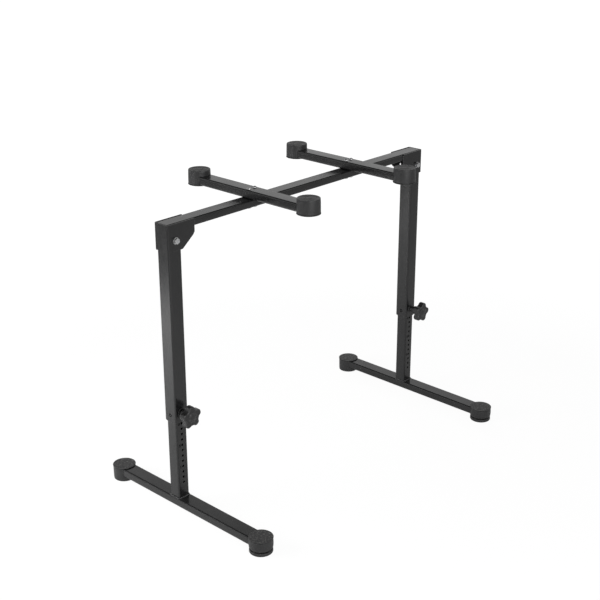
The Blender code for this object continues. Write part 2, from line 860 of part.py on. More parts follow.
def build_top_frame():
    middle = (0.0, 0.0, (ARM_TOP + ARM_BOTTOM) / 2)
    beam_origin = (0.0, 0.0, (CROSSBAR_TOP + CROSSBAR_BOTTOM) / 2)
    add_part("crossbar", crossbar(), POWDER_BLACK, beam_origin, (0.0, LEG_SETBACK))
    for side, sign in SIDES.items():
        x = sign * ARM_SPACING / 2
        arm = (x, LEG_SETBACK)
        add_part("support_arm_" + side, support_arm(), POWDER_BLACK, middle, arm)
        for end, side_y in (("front", -1), ("back", 1)):
            name = "arm_cap_" + end + "_" + side
            centre = (0.0, side_y * ARM_REACH / 2, REST_HEIGHT)
            add_part(name, arm_cap(name, side_y), CAP_BLACK, centre, arm)
        for number, shift in enumerate(BOLT_SHIFTS, 1):
            tag = "_" + side + "_" + str(number)
            bolt = (x + shift, LEG_SETBACK)
            add_part("arm_bolt" + tag, arm_bolt(), ZINC, middle, bolt)
            add_part("arm_nut" + tag, arm_nut(), ZINC, middle, bolt)
            add_part("arm_washer" + tag, arm_washer(), ZINC, middle, bolt)


def build_leg(side, sign):
    """One folding leg with its hinge, telescope, lock and floor bar."""
    x = sign * LEG_SPACING / 2
    leg = (x, LEG_SETBACK)
    foot = (x, 0.0)
    inward = -sign
    tag = "_" + side
    pivot = (0.0, 0.0, PIVOT_HEIGHT)
    button_at = (0.0, OUTER_HALF, PIVOT_HEIGHT - LOCK_ARM)
    stud_at = (0.0, -OUTER_HALF, STUD_HEIGHT)
    bar_at = (0.0, 0.0, BAR_BOTTOM + BAR_HEIGHT / 2)
    level_at = (0.0, -FOOT_SPACING / 2, 0.0)

    bracket = hinge_bracket(inward, FOLD_ANGLE[side])
    add_part("hinge_bracket" + tag, bracket, POWDER_BLACK, pivot, leg)
    add_part("hinge_bolt" + tag, hinge_bolt(), ZINC, pivot, leg)
    add_part("hinge_nut" + tag, hinge_nut(), ZINC, pivot, leg)
    for end, lay in (("front", facing_front), ("back", facing_back)):
        name = "hinge_washer_" + end + tag
        add_part(name, hinge_washer(lay), ZINC, pivot, leg)

    fold = axis_empty("fold_axis" + tag, (*leg, PIVOT_HEIGHT))
    add_part("outer_tube" + tag, outer_tube(), POWDER_BLACK, pivot, leg, fold)
    add_part("pivot_sleeve" + tag, pivot_sleeve(), ZINC, pivot, leg, fold)
    add_part("lock_button" + tag, lock_button(), ZINC, button_at, leg, fold)
    add_part("lock_spring" + tag, lock_spring(), ZINC, button_at, leg, fold)
    sleeve_at = (0.0, 0.0, OUTER_TUBE_END)
    add_part("guide_sleeve" + tag, guide_sleeve(), SLEEVE_BLACK, sleeve_at, leg, fold)
    add_part("stud_boss" + tag, stud_boss(), POWDER_BLACK, stud_at, leg, fold)

    stud = axis_empty("stud_axis" + tag, (x, LEG_SETBACK - OUTER_HALF, STUD_HEIGHT), fold)
    screw = (x, LEG_SETBACK - KNOB_BACKED_OUT[side])
    add_part("lock_stud" + tag, lock_stud(), ZINC, stud_at, screw, stud)
    add_part("knob" + tag, star_knob(STAR_TURN[side]), KNOB_BLACK, stud_at, screw, stud)
    add_part("knob_cap" + tag, knob_cap(), KNOB_BLACK, stud_at, screw, stud)

    slide = axis_empty("height_axis" + tag, (*leg, STUD_HEIGHT), fold)
    add_part("lower_tube" + tag, lower_tube(), POWDER_BLACK, stud_at, leg, slide)
    plug_at = (0.0, 0.0, LOWER_TUBE_TOP)
    add_part("slide_plug" + tag, slide_plug(), SLEEVE_BLACK, plug_at, leg, slide)
    middle = BAR_BOTTOM + BAR_HEIGHT / 2
    floor_bar = flat_bar("floor_bar", FOOT_SPACING, middle)
    add_part("floor_bar" + tag, floor_bar, POWDER_BLACK, bar_at, foot, slide)
    back = back_cap("foot_cap_back", 1, FOOT_SPACING, middle)
    back_at = (0.0, FOOT_SPACING / 2, 0.0)
    add_part("foot_cap_back" + tag, back, CAP_BLACK, back_at, foot, slide)
    front = front_cap("foot_cap_front", FOOT_SPACING, middle)
    add_part("foot_cap_front" + tag, front, CAP_BLACK, level_at, foot, slide)
    disc = levelling_disc("levelling_disc", FOOT_SPACING)
    add_part("levelling_disc" + tag, disc, CAP_BLACK, level_at, foot, slide)


build_top_frame()
for SIDE, SIGN in SIDES.items():
    build_leg(SIDE, SIGN)
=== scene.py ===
"""Looks of the table keyboard stand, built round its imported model."""

import math

import bmesh
import bpy
from mathutils import Matrix, Vector


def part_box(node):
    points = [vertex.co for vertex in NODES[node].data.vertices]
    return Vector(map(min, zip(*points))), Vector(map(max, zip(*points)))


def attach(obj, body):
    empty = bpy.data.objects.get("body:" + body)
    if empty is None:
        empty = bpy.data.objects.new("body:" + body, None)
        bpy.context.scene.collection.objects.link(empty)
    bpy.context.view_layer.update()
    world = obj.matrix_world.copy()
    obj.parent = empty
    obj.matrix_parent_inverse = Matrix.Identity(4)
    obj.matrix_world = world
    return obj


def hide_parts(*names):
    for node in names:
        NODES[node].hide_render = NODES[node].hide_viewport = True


bl_info = {
    "name": "Table Keyboard Stand Dresser",
    "version": (1, 0, 0),
    "blender": (4, 5, 0),
    "location": "View3D > Sidebar > Stand",
    "description": "Finishes and fine details for a folding table keyboard stand",
    "category": "Object",
}

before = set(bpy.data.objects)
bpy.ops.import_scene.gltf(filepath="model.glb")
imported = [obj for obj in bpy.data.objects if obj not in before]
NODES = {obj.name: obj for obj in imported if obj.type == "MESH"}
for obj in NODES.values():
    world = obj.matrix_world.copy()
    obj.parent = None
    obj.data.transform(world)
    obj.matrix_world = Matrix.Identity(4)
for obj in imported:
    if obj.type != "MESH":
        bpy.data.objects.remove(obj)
SIDES = {"left": -1, "right": 1}


def middle_of(node):
    low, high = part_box(node)
    return (low + high) / 2


def size_of(node):
    low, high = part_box(node)
    return high - low


def axis_of(side):
    """Middle of a leg's outer tube, seen from above."""
    middle = middle_of("outer_tube_" + side)
    return Vector((middle.x, middle.y, 0.0))


TUBE = size_of("outer_tube_left").y
INNER_TUBE = size_of("lower_tube_left").y
TUBE_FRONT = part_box("outer_tube_left")[0].y
BAR_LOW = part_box("floor_bar_left")[0].z
BAR_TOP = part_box("floor_bar_left")[1].z
BAR_WIDTH = size_of("floor_bar_left").x
CAP_HEIGHT = size_of("foot_cap_back_left").z
CAP_RADIUS = size_of("foot_cap_back_left").x / 2
FRONT_RADIUS = size_of("foot_cap_front_left").x / 2
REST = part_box("arm_cap_front_left")[1].z
BAR_MIDDLE = (BAR_LOW + BAR_TOP) / 2
HOLE_PITCH = 0.0149

# Radius of the small flat that closes a turned piece at its axis
CORE = 0.0005

# How far the photograph's frame is shifted from the lens, in frame widths
FRAME_SHIFT = (-0.0144, -0.0433)

# Half the floor's side, and how far it lies under the soles
FLOOR_REACH = 40.0
FLOOR_DROP = 0.0003

BLACK = (0.002, 0.002, 0.002, 1.0)
SOOT = (0.006, 0.006, 0.006, 1.0)
DUST = (0.19, 0.185, 0.18, 1.0)
PALE_ZINC = (0.70, 0.70, 0.69, 1.0)
WHITE = (1.0, 1.0, 1.0, 1.0)


class StandSizes(bpy.types.PropertyGroup):
    """Sizes of the moulded caps, the star knobs and the weld beads."""

    lid_thickness: bpy.props.FloatProperty(
        name="Lid",
        description="Height of the lid's rim on every moulded cap",
        unit="LENGTH",
        default=0.0013,
    )
    groove_depth: bpy.props.FloatProperty(
        name="Groove",
        description="Depth of the groove under a cap's lid",
        unit="LENGTH",
        default=0.0026,
    )
    sole_height: bpy.props.FloatProperty(
        name="Sole",
        description="Height of the levelling disc",
        unit="LENGTH",
        default=0.0078,
    )
    sole_gap: bpy.props.FloatProperty(
        name="Sole gap",
        description="Gap between the levelling disc and its cap",
        unit="LENGTH",
        default=0.0046,
    )
    star_tip: bpy.props.FloatProperty(
        name="Star",
        description="Radius of the star knob over its lobes",
        unit="LENGTH",
        default=0.0286,
    )
    star_waist: bpy.props.FloatProperty(
        name="Waist",
        description="Radius of the star knob between its lobes",
        unit="LENGTH",
        default=0.0219,
    )
    star_depth: bpy.props.FloatProperty(
        name="Star depth",
        description="Thickness of the star, front to back",
        unit="LENGTH",
        default=0.0163,
    )
    star_turn_left: bpy.props.FloatProperty(
        name="Left turn",
        description="Angle of the left star's first lobe",
        subtype="ANGLE",
        default=math.radians(90.3),
    )
    star_turn_right: bpy.props.FloatProperty(
        name="Right turn",
        description="Angle of the right star's first lobe",
        subtype="ANGLE",
        default=math.radians(73.9),
    )
    bead: bpy.props.FloatProperty(
        name="Weld bead",
        description="Radius of the weld beads",
        unit="LENGTH",
        default=0.0015,
    )
    edge: bpy.props.FloatProperty(
        name="Edge",
        description="Rounding of the cut edges of the steel",
        unit="LENGTH",
        default=0.0004,
    )


class StandFinish(bpy.types.PropertyGroup):
    """Colours and textures of the stand's finishes."""

    coat_colour: bpy.props.FloatVectorProperty(
        name="Powder coat",
        description="Colour of the coated tubes",
        subtype="COLOR",
        size=4,
        min=0.0,
        max=1.0,
        default=(0.014, 0.014, 0.0144, 1.0),
    )
    rubber_colour: bpy.props.FloatVectorProperty(
        name="Cap rubber",
        description="Colour of the moulded caps and feet",
        subtype="COLOR",
        size=4,
        min=0.0,
        max=1.0,
        default=(0.020, 0.020, 0.0205, 1.0),
    )
    knob_colour: bpy.props.FloatVectorProperty(
        name="Knob plastic",
        description="Colour of the star knobs",
        subtype="COLOR",
        size=4,
        min=0.0,
        max=1.0,
        default=(0.011, 0.011, 0.0113, 1.0),
    )
    sleeve_colour: bpy.props.FloatVectorProperty(
        name="Sleeve plastic",
        description="Colour of the guide sleeves and plugs",
        subtype="COLOR",
        size=4,
        min=0.0,
        max=1.0,
        default=(0.013, 0.013, 0.0135, 1.0),
    )
    zinc_colour: bpy.props.FloatVectorProperty(
        name="Zinc plate",
        description="Colour of the plated bolts, nuts and washers",
        subtype="COLOR",
        size=4,
        min=0.0,
        max=1.0,
        default=(0.62, 0.63, 0.65, 1.0),
    )
    coat_roughness: bpy.props.FloatProperty(
        name="Coat roughness",
        description="How matt the powder coat is",
        subtype="FACTOR",
        min=0.0,
        max=1.0,
        default=0.20,
    )


class StandStudio(bpy.types.PropertyGroup):
    """Camera and light of the studio."""

    camera_place: bpy.props.FloatVectorProperty(
        name="Camera",
        description="Where the camera stands, from the middle of the feet",
        subtype="TRANSLATION",
        unit="LENGTH",
        size=3,
        default=(-2.084, -1.8912, 1.5638),
    )
    camera_turn: bpy.props.FloatProperty(
        name="Turn",
        description="Heading of the camera, from straight back towards the right",
        subtype="ANGLE",
        default=math.radians(47.621),
    )
    camera_dip: bpy.props.FloatProperty(
        name="Dip",
        description="How far the camera looks down",
        subtype="ANGLE",
        default=math.radians(20.541),
    )
    camera_roll: bpy.props.FloatProperty(
        name="Roll",
        description="Roll of the camera about its line of sight",
        subtype="ANGLE",
        default=math.radians(0.08),
    )
    camera_lens: bpy.props.FloatProperty(
        name="Lens",
        description="Focal length on a 36 mm frame",
        min=10.0,
        max=300.0,
        default=68.72,
    )
    floor_grey: bpy.props.FloatProperty(
        name="Floor",
        description="How pale the floor is",
        subtype="FACTOR",
        min=0.0,
        max=1.0,
        default=0.9,
    )


# Shader helpers. Noise scales are features a metre, and depths are metres.


def calculated(tree, operation, *values):
    """Result of a math node whose inputs are sockets or plain numbers."""
    node = tree.nodes.new("ShaderNodeMath")
    node.operation = operation
    for socket, value in zip(node.inputs, values):
        if isinstance(value, float):
            socket.default_value = value
        else:
            tree.links.new(value, socket)
    return node.outputs[0]


def mapped(tree, value, low, high, to_low, to_high, interpolation="LINEAR"):
    """Map a value's range from low and high to two others."""
    node = tree.nodes.new("ShaderNodeMapRange")
    node.interpolation_type = interpolation
    node.inputs["From Min"].default_value = low
    node.inputs["From Max"].default_value = high
    node.inputs["To Min"].default_value = to_low
    node.inputs["To Max"].default_value = to_high
    tree.links.new(value, node.inputs["Value"])
    return node.outputs["Result"]


class Finish:
    """A material under construction, with short ways to add and join nodes."""

    def __init__(self, name, colour, roughness, metallic=0.0):
        self.material = bpy.data.materials.new(name)
        self.material.use_nodes = True
        self.tree = self.material.node_tree
        self.shader = self.tree.nodes["Principled BSDF"]
        self.shader.inputs["Base Color"].default_value = colour
        self.shader.inputs["Roughness"].default_value = roughness
        self.shader.inputs["Metallic"].default_value = metallic
        self.material.diffuse_color = colour
        self.place = self.add("ShaderNodeTexCoord").outputs["Object"]

    def add(self, kind, **settings):
        node = self.tree.nodes.new(kind)
        for name, value in settings.items():
            setattr(node, name, value)
        return node

    def join(self, source, target):
        self.tree.links.new(source, target)

    def noise(self, scale, detail=2.0, stretch=None):
        """Smooth noise from 0 to 1."""
        node = self.add("ShaderNodeTexNoise")
        node.inputs["Scale"].default_value = scale
        node.inputs["Detail"].default_value = detail
        self.join(self.stretched(stretch), node.inputs["Vector"])
        return node.outputs["Fac"]

    def cells(self, scale):
        node = self.add("ShaderNodeTexVoronoi")
        node.inputs["Scale"].default_value = scale
        self.join(self.place, node.inputs["Vector"])
        return node.outputs["Distance"]

    def stretched(self, stretch):
        if stretch is None:
            return self.place
        mapping = self.add("ShaderNodeMapping")
        mapping.inputs["Scale"].default_value = stretch
        self.join(self.place, mapping.inputs["Vector"])
        return mapping.outputs["Vector"]

    def ranged(self, value, low, high, to_low, to_high):
        return mapped(self.tree, value, low, high, to_low, to_high)

    def product(self, first, second):
        return calculated(self.tree, "MULTIPLY", first, second)

    def paint(self, colour):
        self.join(colour, self.shader.inputs["Base Color"])

    def polish(self, value, low, high):
        """Let the roughness wander between two values."""
        self.join(self.ranged(value, 0.3, 0.7, low, high), self.shader.inputs["Roughness"])

    def texture(self, normal):
        self.join(normal, self.shader.inputs["Normal"])

    def blended(self, share, first, second):
        """Mix two colours, each a socket or a plain colour."""
        node = self.add("ShaderNodeMix", data_type="RGBA")
        self.join(share, node.inputs["Factor"])
        for value, name in ((first, "A"), (second, "B")):
            socket = next(
                s for s in node.inputs if s.name == name and s.type == "RGBA"
            )
            if hasattr(value, "links"):
                self.join(value, socket)
            else:
                socket.default_value = value
        return next(s for s in node.outputs if s.type == "RGBA")

    def bumped(self, height, depth, strength=1.0, before=None):
        node = self.add("ShaderNodeBump")
        node.inputs["Distance"].default_value = depth
        node.inputs["Strength"].default_value = strength
        self.join(height, node.inputs["Height"])
        if before is not None:
            self.join(before, node.inputs["Normal"])
        return node.outputs["Normal"]

    def worn(self, colour, wear_and_sheen, scale=300.0):
        """Lighten the convex edges of a moulded or welded piece, a little unevenly: partly
        abrasion, partly a painted highlight.
        """
        node = self.add("ShaderNodeAttribute", attribute_name="edge_wear_and_highlight")
        uneven = self.ranged(self.noise(scale, 3.0), 0.3, 0.7, 0.55, 1.0)
        return self.blended(self.product(node.outputs["Fac"], uneven), colour, wear_and_sheen)

    def cut_edges(self, radius):
        """Where a hard cut edge lies within this distance, from 0 to 1, as the mask of a painted
        highlight along the cut edges.
        """
        round_edge = self.add("ShaderNodeBevel", samples=4)
        round_edge.inputs["Radius"].default_value = radius
        flat = self.add("ShaderNodeNewGeometry").outputs["Normal"]
        match = self.add("ShaderNodeVectorMath", operation="DOT_PRODUCT")
        self.join(round_edge.outputs["Normal"], match.inputs[0])
        self.join(flat, match.inputs[1])
        return self.ranged(match.outputs["Value"], 0.75, 0.97, 1.0, 0.0)

    def facing_up(self):
        """How far a surface faces the ceiling, from 0 to 1."""
        normal = self.add("ShaderNodeNewGeometry").outputs["Normal"]
        parts = self.add("ShaderNodeSeparateXYZ")
        self.join(normal, parts.inputs[0])
        return self.ranged(parts.outputs["Z"], 0.2, 1.0, 0.0, 1.0)


def tinted(colour, factor):
    return (*[channel * factor for channel in colour[:3]], 1.0)


def powder_coat(finish):
    """Satin powder coat: orange peel, fine grain, faint dust, convex edges lightened partly by
    abrasion and partly as a painted highlight, and a brighter painted highlight along the cut
    edges.
    """
    base = finish.coat_colour
    look = Finish("powder_coat", base, finish.coat_roughness)
    clouds = look.noise(9.0, 4.0)
    colour = look.blended(
        look.ranged(clouds, 0.35, 0.65, 0.0, 1.0), tinted(base, 0.86), tinted(base, 1.14)
    )
    speck = look.ranged(look.noise(1400.0, 1.0), 0.62, 0.72, 0.0, 0.35)
    colour = look.blended(speck, colour, tinted(base, 1.9))
    dust = look.product(look.facing_up(), look.ranged(look.noise(60.0, 6.0), 0.4, 0.8, 0.0, 0.05))
    colour = look.blended(dust, colour, DUST)
    # Convex edges lightened: partly abrasion, partly a painted highlight
    colour = look.worn(colour, tinted(base, 5.0))
    # Painted highlight: the cut edges made much lighter than the coat
    look.paint(look.blended(look.cut_edges(0.0010), colour, tinted(base, 9.0)))
    wear_and_sheen = look.noise(14.0, 6.0, (1.0, 1.0, 0.25))
    look.polish(wear_and_sheen, finish.coat_roughness - 0.05, finish.coat_roughness + 0.06)
    peel = look.bumped(look.noise(520.0, 1.0), 0.00006, 0.6)
    look.texture(look.bumped(look.noise(2600.0, 2.0), 0.000010, 0.6, peel))
    return look.material


def moulded(name, colour, roughness, grain_scale, grain_depth, bloom, wear_and_sheen):
    """Moulded rubber or plastic: eroded grain, mottled bloom on top, and edges lightened partly
    by abrasion and partly as a painted highlight.
    """
    look = Finish(name, colour, roughness)
    clouds = look.ranged(look.noise(25.0, 3.0), 0.3, 0.7, 0.0, 1.0)
    shade = look.blended(clouds, tinted(colour, 0.85), tinted(colour, 1.2))
    mottle = look.ranged(look.noise(230.0, 5.0), 0.47, 0.72, 0.0, bloom)
    dust = look.product(look.facing_up(), mottle)
    shade = look.blended(dust, shade, DUST)
    scuff = look.ranged(look.noise(420.0, 2.0), 0.60, 0.72, 0.0, bloom * 0.35)
    shade = look.blended(scuff, shade, tinted(colour, 5.0))
    # Convex edges lightened: partly abrasion, partly a painted highlight, strongest on the knobs
    look.paint(look.worn(shade, tinted(colour, wear_and_sheen)))
    look.polish(look.noise(80.0, 4.0), roughness - 0.06, roughness + 0.08)
    pits = look.bumped(look.cells(grain_scale), grain_depth, 0.5)
    look.texture(look.bumped(look.noise(grain_scale / 5, 2.0), grain_depth * 2, 0.35, pits))
    return look.material


def zinc_plate(finish):
    """Bright zinc plate with a mottled tone and a fine grain."""
    base = finish.zinc_colour
    look = Finish("zinc_plate", base, 0.32, 1.0)
    mottle = look.ranged(look.noise(220.0, 4.0), 0.3, 0.7, 0.0, 1.0)
    look.paint(look.blended(mottle, tinted(base, 0.82), PALE_ZINC))
    look.polish(look.noise(900.0, 3.0), 0.26, 0.42)
    look.texture(look.bumped(look.noise(2200.0, 2.0), 0.00004, 0.4))
    return look.material


def dull_black(name):
    """Dull black with a fine grain, for stamped marks and for the painted shade of the gaps round
    the snap tabs.
    """
    look = Finish(name, BLACK, 0.8)
    look.shader.inputs["Specular IOR Level"].default_value = 0.1
    speck = look.ranged(look.noise(900.0, 2.0), 0.5, 0.8, 0.0, 1.0)
    look.paint(look.blended(speck, BLACK, SOOT))
    look.join(look.ranged(speck, 0.0, 1.0, 0.75, 0.9), look.shader.inputs["Roughness"])
    look.texture(look.bumped(look.noise(1800.0, 2.0), 0.00003, 0.5))
    return look.material


FINISHES = {}


# Shapes drawn about a vertical axis, and how they become pieces


def filleted(corners, steps=5):
    """Turn corners of (radius, height, fillet) into a smooth profile."""
    room, support, share = 0.0012, 0.0003, 0.49
    points = []
    last = len(corners) - 1
    for index, (x, z, fillet) in enumerate(corners):
        here = Vector((x, z))
        if fillet == 0.0 or index in (0, last):
            points.append(here)
            continue
        back = Vector(corners[index - 1][:2]) - here
        ahead = Vector(corners[index + 1][:2]) - here
        reach = min(fillet, back.length * share, ahead.length * share)
        start = here + back.normalized() * reach
        end = here + ahead.normalized() * reach
        if back.length > reach + room:
            points.append(start + back.normalized() * support)
        for step in range(steps + 1):
            t = step / steps
            points.append(start * (1 - t) ** 2 + here * 2 * t * (1 - t) + end * t**2)
        if ahead.length > reach + room:
            points.append(end + ahead.normalized() * support)
    return points


def rings_to_shape(rings, looped=False):
    """Skin a stack of closed rings, and close its two ends or join them in a loop."""
    shape = bmesh.new()
    rows = [[shape.verts.new(point) for point in ring] for ring in rings]
    count = len(rows[0])
    for low, high in zip(rows, rows[1:] + (rows[:1] if looped else [])):
        for index in range(count):
            following = (index + 1) % count
            shape.faces.new((low[index], low[following], high[following], high[index]))
    if not looped:
        shape.faces.new(list(reversed(rows[0])))
        shape.faces.new(rows[-1])
    bmesh.ops.recalc_face_normals(shape, faces=shape.faces)
    return shape


def circle(radius, height, steps):
    angles = [2 * math.pi * step / steps for step in range(steps)]
    return [(radius * math.cos(a), radius * math.sin(a), height) for a in angles]


def turned(corners, steps=96):
    """Lathe a filleted profile about the vertical axis."""
    profile = [p for p in filleted(corners) if p.x > 0.0001]
    return rings_to_shape([circle(p.x, p.y, steps) for p in profile])


def slot_outline(width, height, corner, steps=8):
    """Rounded rectangle about the origin."""
    points = []
    for sx, sy, start in ((1, 1, 0.0), (-1, 1, 0.5), (-1, -1, 1.0), (1, -1, 1.5)):
        for step in range(steps + 1):
            angle = math.pi * (start + 0.5 * step / steps)
            x = sx * (width / 2 - corner) + corner * math.cos(angle)
            y = sy * (height / 2 - corner) + corner * math.sin(angle)
            points.append((x, y))
    return points


def as_object(name, shape):
    mesh = bpy.data.meshes.new(name)
    shape.to_mesh(mesh)
    shape.free()
    piece = bpy.data.objects.new(name, mesh)
    bpy.context.scene.collection.objects.link(piece)
    return piece


def hollowed(piece, cutter):
    """Cut one solid out of another and throw the cutter away."""
    cut = piece.modifiers.new("cut", "BOOLEAN")
    cut.operation = "DIFFERENCE"
    cut.solver = "EXACT"
    cut.object = cutter
    depsgraph = bpy.context.evaluated_depsgraph_get()
    mesh = bpy.data.meshes.new_from_object(piece.evaluated_get(depsgraph))
    piece.modifiers.clear()
    spent = piece.data
    piece.data = mesh
    mesh.name = piece.name
    bpy.data.meshes.remove(spent)
    bpy.data.objects.remove(cutter)
    return piece


def mark_edges(mesh, start=200.0, full=600.0):
    """Note on each vertex how tightly the skin turns outwards there, for the lightened edges:
    abrasion and a painted highlight.
    """
    bend = [0.0] * len(mesh.vertices)
    for edge in mesh.edges:
        first, second = (mesh.vertices[index] for index in edge.vertices)
        span = second.co - first.co
        square = max(span.length_squared, 1e-12)
        for vertex, way in ((first, span), (second, -span)):
            tight = -2 * way.dot(vertex.normal) / square
            bend[vertex.index] = max(bend[vertex.index], tight)
    edge_lightening = mesh.attributes.new("edge_wear_and_highlight", "FLOAT", "POINT")
    for index, tight in enumerate(bend):
        edge_lightening.data[index].value = min(max((tight - start) / (full - start), 0.0), 1.0)


def finished(piece, material, body, slot, *nodes, sharp=34.0):
    """Shade a piece, paint it and hang it on its body."""
    mark_edges(piece.data)
    piece.data.shade_smooth()
    piece.data.set_sharp_from_angle(angle=math.radians(sharp))
    piece.data.materials.clear()
    piece.data.materials.append(material)
    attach(piece, body)
    if nodes:
        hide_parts(*nodes)
    return piece


# Finishes of the parts of the frame

COATED = (
    "crossbar",
    "support_arm",
    "hinge_bracket",
    "outer_tube",
    "lower_tube",
    "floor_bar",
    "stud_boss",
)
RUBBER = ("arm_cap", "foot_cap", "levelling_disc")
SLEEVES = ("guide_sleeve", "slide_plug")


def finish_of(node):
    for starts, key in (
        (COATED, "coat"),
        (RUBBER, "rubber"),
        (("knob",), "knob"),
        (SLEEVES, "sleeve"),
    ):
        if node.startswith(starts):
            return FINISHES[key]
    return FINISHES["zinc"]


def node_group(name):
    """Empty geometry group with one way in and one way out."""
    tree = bpy.data.node_groups.new(name, "GeometryNodeTree")
    tree.interface.new_socket(name="Shape", in_out="INPUT", socket_type="NodeSocketGeometry")
    tree.interface.new_socket(name="Shape", in_out="OUTPUT", socket_type="NodeSocketGeometry")
    return tree, tree.nodes.new("NodeGroupInput"), tree.nodes.new("NodeGroupOutput")


# Points closer than this become one, and edges sharper than this stay hard
SEAM_REACH = 0.00001
HARD_ANGLE = math.radians(50.0)


def joined_faces():
    """Geometry group that joins loose faces into one skin."""
    tree, start, end = node_group("joined_faces")
    clear = tree.nodes.new("GeometryNodeRemoveAttribute")
    clear.inputs["Name"].default_value = "custom_normal"
    merge = tree.nodes.new("GeometryNodeMergeByDistance")
    merge.inputs["Distance"].default_value = SEAM_REACH
    tree.links.new(start.outputs[0], clear.inputs[0])
    tree.links.new(clear.outputs[0], merge.inputs["Geometry"])
    tree.links.new(merge.outputs[0], end.inputs[0])
    return tree


def smoothed_faces():
    """Geometry group that smooths every face and keeps only hard corners."""
    tree, start, end = node_group("smoothed_faces")
    faces = tree.nodes.new("GeometryNodeSetShadeSmooth")
    faces.domain = "FACE"
    edges = tree.nodes.new("GeometryNodeSetShadeSmooth")
    edges.domain = "EDGE"
    edges.inputs["Shade Smooth"].default_value = False
    angle = tree.nodes.new("GeometryNodeInputMeshEdgeAngle")
    hard = tree.nodes.new("FunctionNodeCompare")
    hard.data_type = "FLOAT"
    hard.operation = "GREATER_THAN"
    hard.inputs[1].default_value = HARD_ANGLE
    tree.links.new(angle.outputs["Unsigned Angle"], hard.inputs[0])
    tree.links.new(start.outputs[0], faces.inputs["Geometry"])
    tree.links.new(faces.outputs[0], edges.inputs["Geometry"])
    tree.links.new(hard.outputs[0], edges.inputs["Selection"])
    tree.links.new(edges.outputs[0], end.inputs[0])
    return tree


def softened(node, width, groups):
    """Round the cut edges of a part with modifiers, and leave its mesh alone."""
    join = node.modifiers.new("joined_faces", "NODES")
    join.node_group = groups[0]
    flat = node.modifiers.new("flat_faces", "DECIMATE")
    flat.decimate_type = "DISSOLVE"
    flat.angle_limit = math.radians(1.0)
    if width > 0.0:
        bevel = node.modifiers.new("broken_edges", "BEVEL")
        bevel.limit_method = "ANGLE"
        bevel.angle_limit = math.radians(40.0)
        bevel.width = width
        bevel.segments = 2
    smooth = node.modifiers.new("smoothed_faces", "NODES")
    smooth.node_group = groups[1]
    weigh = node.modifiers.new("even_shading", "WEIGHTED_NORMAL")
    weigh.keep_sharp = True
    weigh.weight = 80


class STAND_OT_finishes(bpy.types.Operator):
    """Mix the finishes, give each part of the frame its own and break its edges."""

    bl_idname = "stand.finishes"
    bl_label = "Finishes"

    def execute(self, context):
        finish = context.scene.stand_finish
        FINISHES["coat"] = powder_coat(finish)
        FINISHES["rubber"] = moulded(
            "cap_rubber_grain",
            finish.rubber_colour,
            roughness=0.45,
            grain_scale=1500.0,
            grain_depth=0.00003,
            bloom=0.6,
            wear_and_sheen=2.2,
        )
        FINISHES["knob"] = moulded(
            "knob_plastic_grain",
            finish.knob_colour,
            roughness=0.33,
            grain_scale=1900.0,
            grain_depth=0.00002,
            bloom=0.12,
            wear_and_sheen=6.0,
        )
        FINISHES["sleeve"] = moulded(
            "sleeve_plastic_grain",
            finish.sleeve_colour,
            roughness=0.38,
            grain_scale=2500.0,
            grain_depth=0.00001,
            bloom=0.0,
            wear_and_sheen=2.0,
        )
        FINISHES["zinc"] = zinc_plate(finish)
        FINISHES["stamp"] = dull_black("stamped_black")
        # Dull black discs of painted shade for the gaps round the snap tabs
        FINISHES["gap_shade"] = dull_black("painted_gap_shade")
        groups = (joined_faces(), smoothed_faces())
        edge = context.scene.stand_sizes.edge
        for name, node in NODES.items():
            node.data.materials.clear()
            node.data.materials.append(finish_of(name))
            width = edge
            if name.startswith(("lock_spring", "hinge_washer", "arm_washer")):
                width = 0.0
            elif name.startswith("hinge_bracket"):
                width = edge * 2
            softened(node, width, groups)
        return {"FINISHED"}


# Moulded caps


def bar_pocket(way):
    """Cutter for the pocket that takes a bar's end, open along +Y or -Y."""
    play, corner, inset = 0.0006, 0.0045, 0.0077
    outline = slot_outline(BAR_WIDTH + play, BAR_TOP - BAR_LOW + play, corner)
    rings = [
        [(x, way * y, BAR_MIDDLE + z) for x, z in outline] for y in (-inset, 2 * CAP_RADIUS)
    ]
    return as_object("bar_pocket", rings_to_shape(rings))


# Height from a cap's top to the skirt below its groove
LID_DROP = 0.0031


def lid_corners(sizes, radius, top):
    """Lid of a cap: flat top, crisp rim and the groove under it."""
    under = top - sizes.lid_thickness
    return [
        (CORE, top, 0.0),
        (radius, top, 0.0007),
        (radius, under, 0.0004),
        (radius - sizes.groove_depth, under - 0.0001, 0.0002),
        (radius - sizes.groove_depth, under - 0.0017, 0.0002),
    ]


def plain_cap(name, sizes, way):
    """Cap for a bar's end, standing on its sole, with fine rings on the sole."""
    radius = CAP_RADIUS
    corners = lid_corners(sizes, radius, CAP_HEIGHT)
    corners += [
        (radius - 0.0007, CAP_HEIGHT - LID_DROP, 0.0005),
        (radius - 0.0008, 0.0180, 0.004),
        (radius - 0.0012, 0.0030, 0.001),
        (radius - 0.0016, 0.0, 0.0009),
    ]
    rings, first, spacing, depth, fillet = 4, 0.0062, 0.0046, 0.0004, 0.0002
    for ring in range(rings):
        outside = radius - first - spacing * ring
        corners += [
            (outside, 0.0, fillet),
            (outside - 0.0003, depth, fillet),
            (outside - 0.0011, depth, fillet),
            (outside - 0.0014, 0.0, fillet),
        ]
    corners.append((CORE, 0.0, 0.0))
    return hollowed(as_object(name, turned(corners)), bar_pocket(way))


